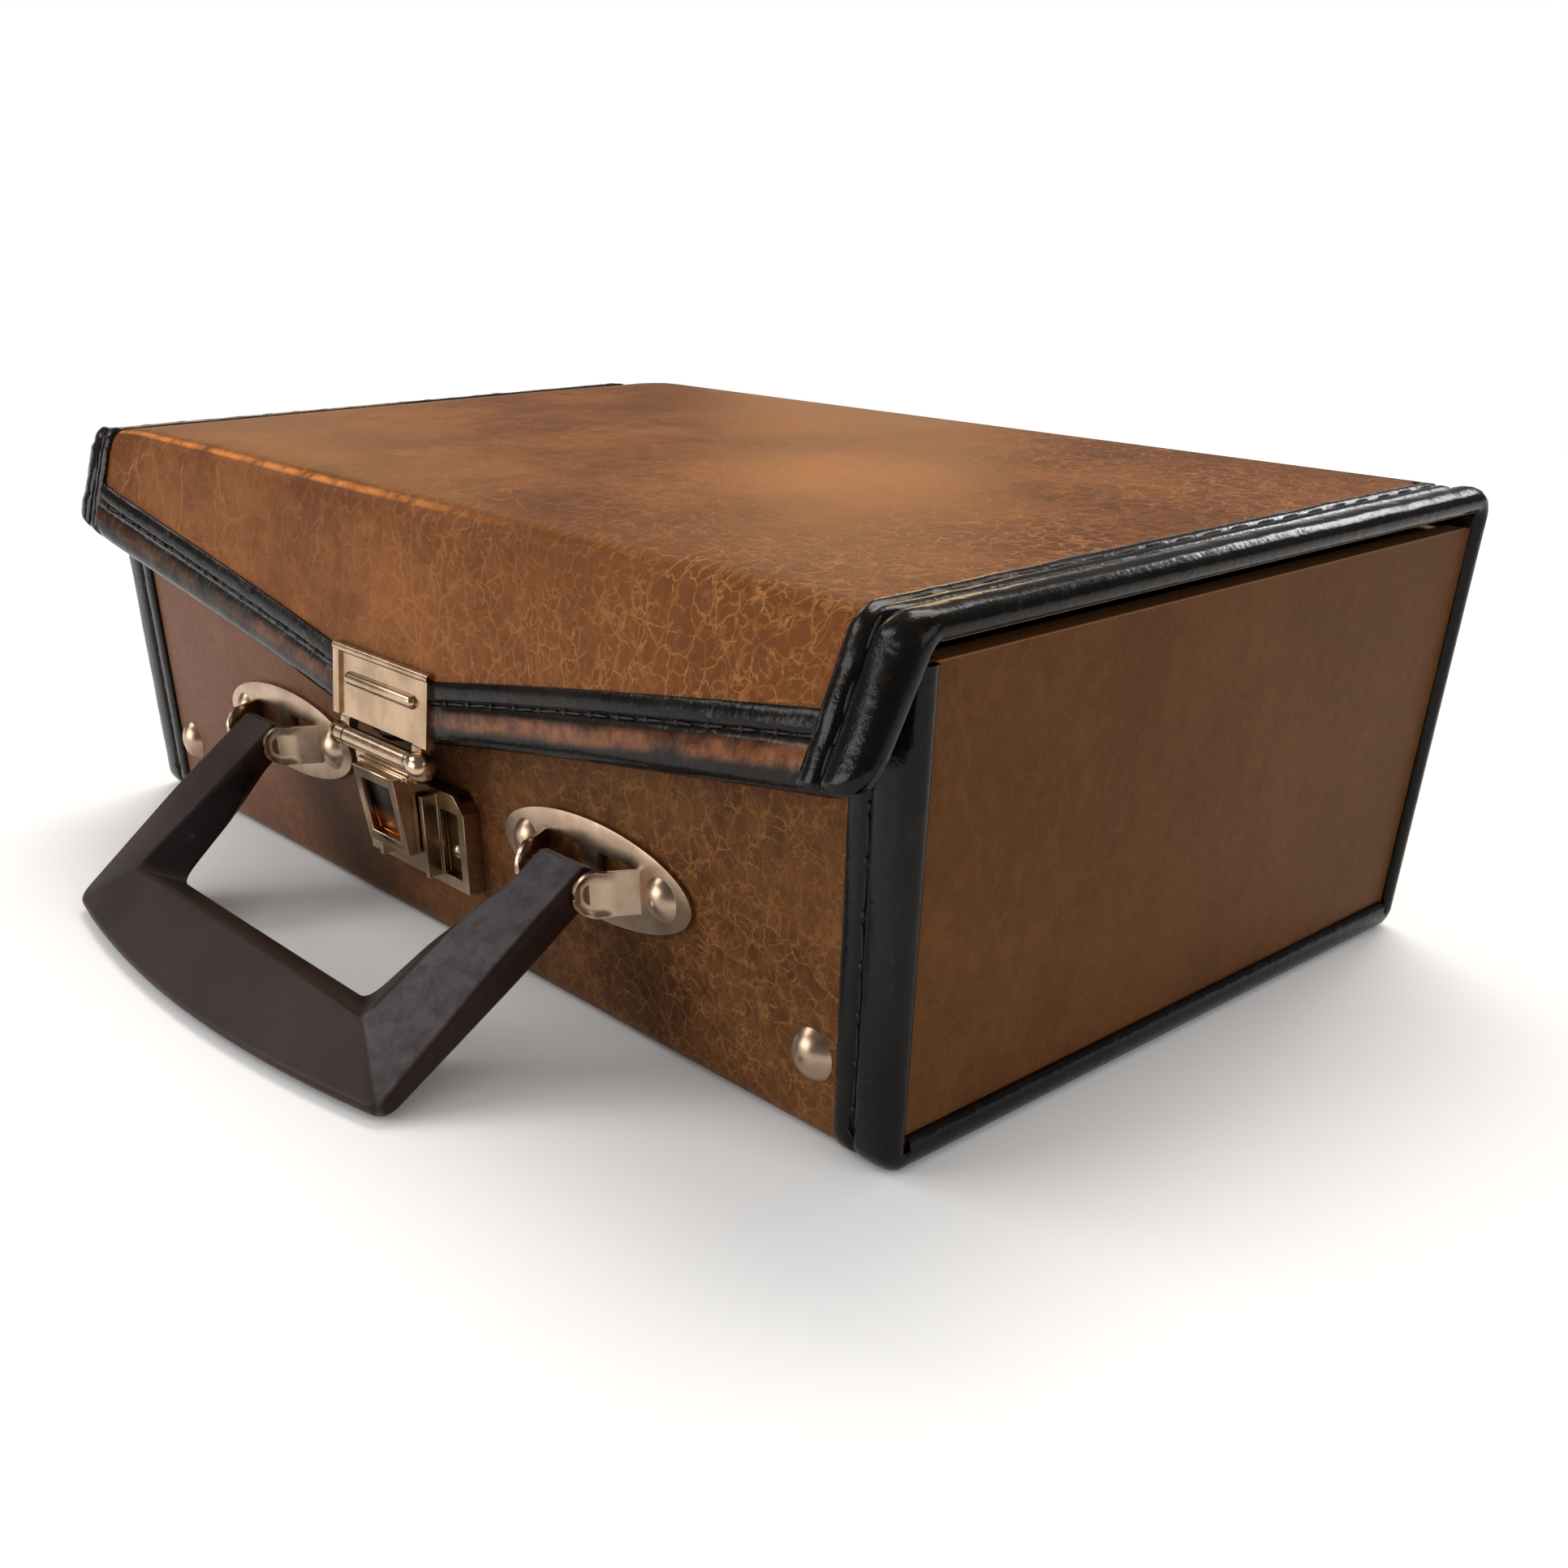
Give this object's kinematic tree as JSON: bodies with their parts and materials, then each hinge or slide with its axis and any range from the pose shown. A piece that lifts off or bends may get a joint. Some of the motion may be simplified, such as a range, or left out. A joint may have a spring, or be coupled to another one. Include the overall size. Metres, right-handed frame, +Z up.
{
  "type": "cassette tape case",
  "caption": "Board case covered in brown vinyl, with a hinged lid, a bound front flap, a snap hasp and a swinging handle, for boxed cassettes standing in a slotted tray",
  "frame": {"origin": "middle of the flat underside of the body", "axes": "+Z up, -Y to the front with the handle, +X to the right"},
  "size_m": [0.2642, 0.2142, 0.0873],
  "materials": {
    "case_board": "pressed grey-brown board",
    "brown_vinyl": "semi-gloss embossed vinyl",
    "side_vinyl": "semi-gloss vinyl",
    "lid_vinyl": "semi-gloss vinyl with a veined print",
    "dark_binding": "glossy dark brown vinyl strip",
    "flock_lining": "short flock on paper",
    "tray_plastic": "dull formed plastic",
    "handle_plastic": "dull dark brown moulding",
    "nickel_steel": "nickel-plated pressed steel"
  },
  "bodies": {
    "case_body": {"front_board": "case_board", "bottom_board": "case_board", "back_board": "case_board", "left_side_board": "case_board", "right_side_board": "case_board", "body_cover": "brown_vinyl", "left_side_cover": "side_vinyl", "right_side_cover": "side_vinyl", "hinge_strip": "brown_vinyl", "left_body_binding": "dark_binding", "right_body_binding": "dark_binding", "body_lining": "flock_lining", "cassette_tray": "tray_plastic", "left_tray_dividers": "tray_plastic", "right_tray_dividers": "tray_plastic", "front_studs": "nickel_steel", "stud_washers": "nickel_steel", "left_handle_bracket": "nickel_steel", "right_handle_bracket": "nickel_steel", "bracket_rivets": "nickel_steel", "left_bracket_backing": "nickel_steel", "right_bracket_backing": "nickel_steel", "latch_base": "nickel_steel", "latch_catch": "nickel_steel", "base_rivets": "nickel_steel", "base_backing": "nickel_steel"},
    "lid": {"lid_board": "case_board", "flap_board": "case_board", "lid_cover": "lid_vinyl", "lid_lining": "flock_lining", "flap_lining": "flock_lining", "flap_binding": "dark_binding", "left_lid_binding": "dark_binding", "right_lid_binding": "dark_binding", "hasp_leaf": "nickel_steel", "leaf_rivets": "nickel_steel", "leaf_backing": "nickel_steel", "hasp_pin": "nickel_steel"},
    "hasp": {"hasp": "nickel_steel"},
    "handle": {"handle": "handle_plastic"}
  },
  "joints": [
    {"name": "lid_hinge", "type": "hinge", "parent": "case_body", "child": "lid", "pos_m": [0, 0.0773, 0.081], "axis": [-1, 0, 0], "range_deg": [0, 180]},
    {"name": "hasp_hinge", "type": "hinge", "parent": "lid", "child": "hasp", "pos_m": [0, -0.08678, 0.04104], "axis": [-1, 0, 0], "range_deg": [0, 140]},
    {"name": "handle_hinge", "type": "hinge", "parent": "case_body", "child": "handle", "pos_m": [0, -0.085, 0.0306], "axis": [-1, 0, 0], "range_deg": [-55, 102]}
  ]
}
